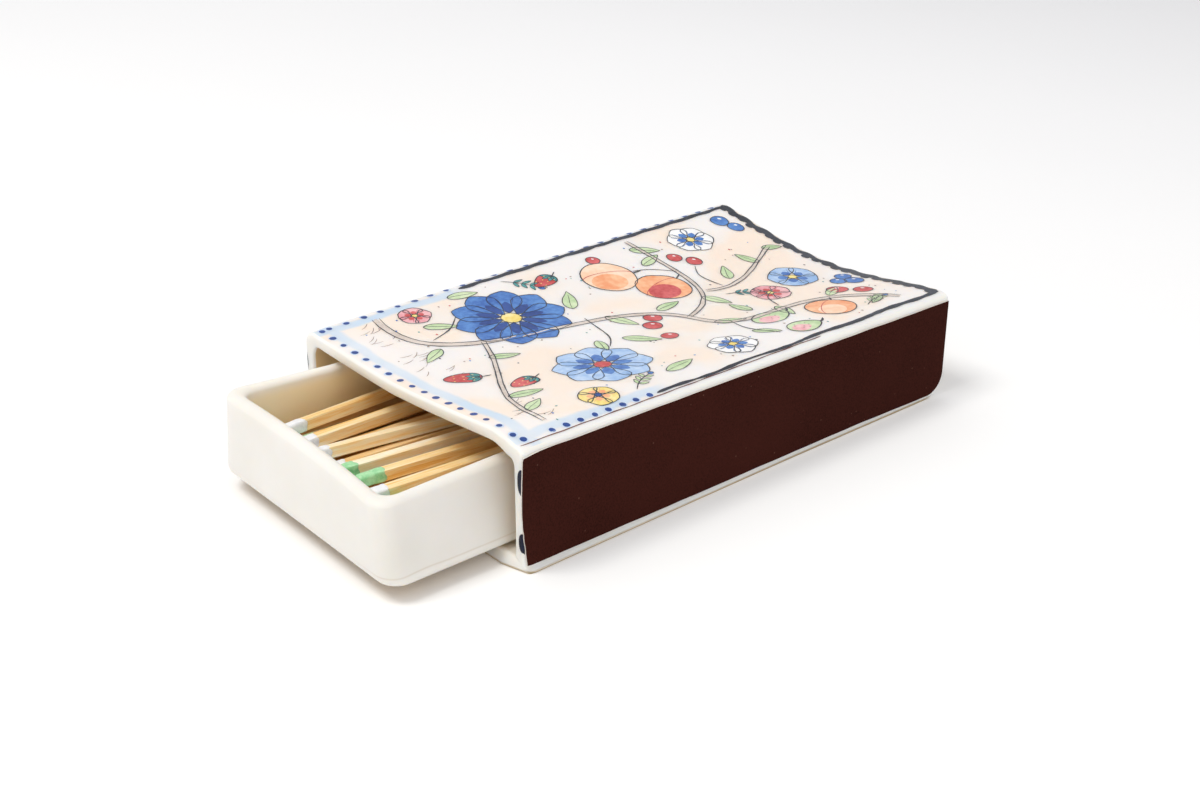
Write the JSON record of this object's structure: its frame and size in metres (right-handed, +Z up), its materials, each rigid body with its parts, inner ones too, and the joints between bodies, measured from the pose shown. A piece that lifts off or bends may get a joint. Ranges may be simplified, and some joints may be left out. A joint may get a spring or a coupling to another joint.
{
  "type": "matchbox",
  "caption": "Glazed porcelain matchbox: an open sleeve with a sagging roof and side striking strips, and a sliding tray of long wooden matches with dipped heads.",
  "frame": {"origin": "centre of the sleeve's flat underside, on the table", "axes": "+Z up, +Y along the sleeve away from the mouth that the tray leaves by, +X across it toward the striking strip seen in the picture"},
  "size_m": [0.0722, 0.1418, 0.0263],
  "materials": {
    "porcelain": "clear glaze over white porcelain, painted on top",
    "tray_porcelain": "satin clear glaze over ivory porcelain",
    "striking_paper": "matt maroon brown grit",
    "aspen": "raw split wood, waxed",
    "white_composition": "matt dipped coat, slightly rough",
    "green_composition": "matt dipped coat, slightly rough"
  },
  "bodies": {
    "sleeve": {"sleeve": "porcelain", "striker_right": "striking_paper", "striker_left": "striking_paper"},
    "tray": {"tray": "tray_porcelain", "match_01_head": "green_composition", "match_01_stick": "aspen", "match_02_head": "white_composition", "match_02_stick": "aspen", "match_03_head": "green_composition", "match_03_stick": "aspen", "match_04_head": "white_composition", "match_04_stick": "aspen", "match_05_head": "white_composition", "match_05_stick": "aspen", "match_06_head": "green_composition", "match_06_stick": "aspen", "match_07_head": "white_composition", "match_07_stick": "aspen", "match_08_head": "white_composition", "match_08_stick": "aspen", "match_09_head": "white_composition", "match_09_stick": "aspen", "match_10_head": "green_composition", "match_10_stick": "aspen", "match_11_head": "white_composition", "match_11_stick": "aspen", "match_12_head": "green_composition", "match_12_stick": "aspen", "match_13_head": "white_composition", "match_13_stick": "aspen", "match_14_head": "white_composition", "match_14_stick": "aspen", "match_15_head": "white_composition", "match_15_stick": "aspen", "match_16_head": "green_composition", "match_16_stick": "aspen", "match_17_head": "white_composition", "match_17_stick": "aspen", "match_18_head": "white_composition", "match_18_stick": "aspen", "match_19_head": "green_composition", "match_19_stick": "aspen", "match_20_head": "white_composition", "match_20_stick": "aspen", "match_21_head": "green_composition", "match_21_stick": "aspen", "match_22_head": "white_composition", "match_22_stick": "aspen", "match_23_head": "white_composition", "match_23_stick": "aspen", "match_24_head": "white_composition", "match_24_stick": "aspen", "match_25_head": "green_composition", "match_25_stick": "aspen", "match_26_head": "green_composition", "match_26_stick": "aspen", "match_27_head": "white_composition", "match_27_stick": "aspen", "match_28_head": "green_composition", "match_28_stick": "aspen"}
  },
  "joints": [
    {"name": "tray_slide", "type": "slide", "parent": "sleeve", "child": "tray", "axis": [0, -1, 0], "range_m": [-0.0252, 0.089]}
  ]
}
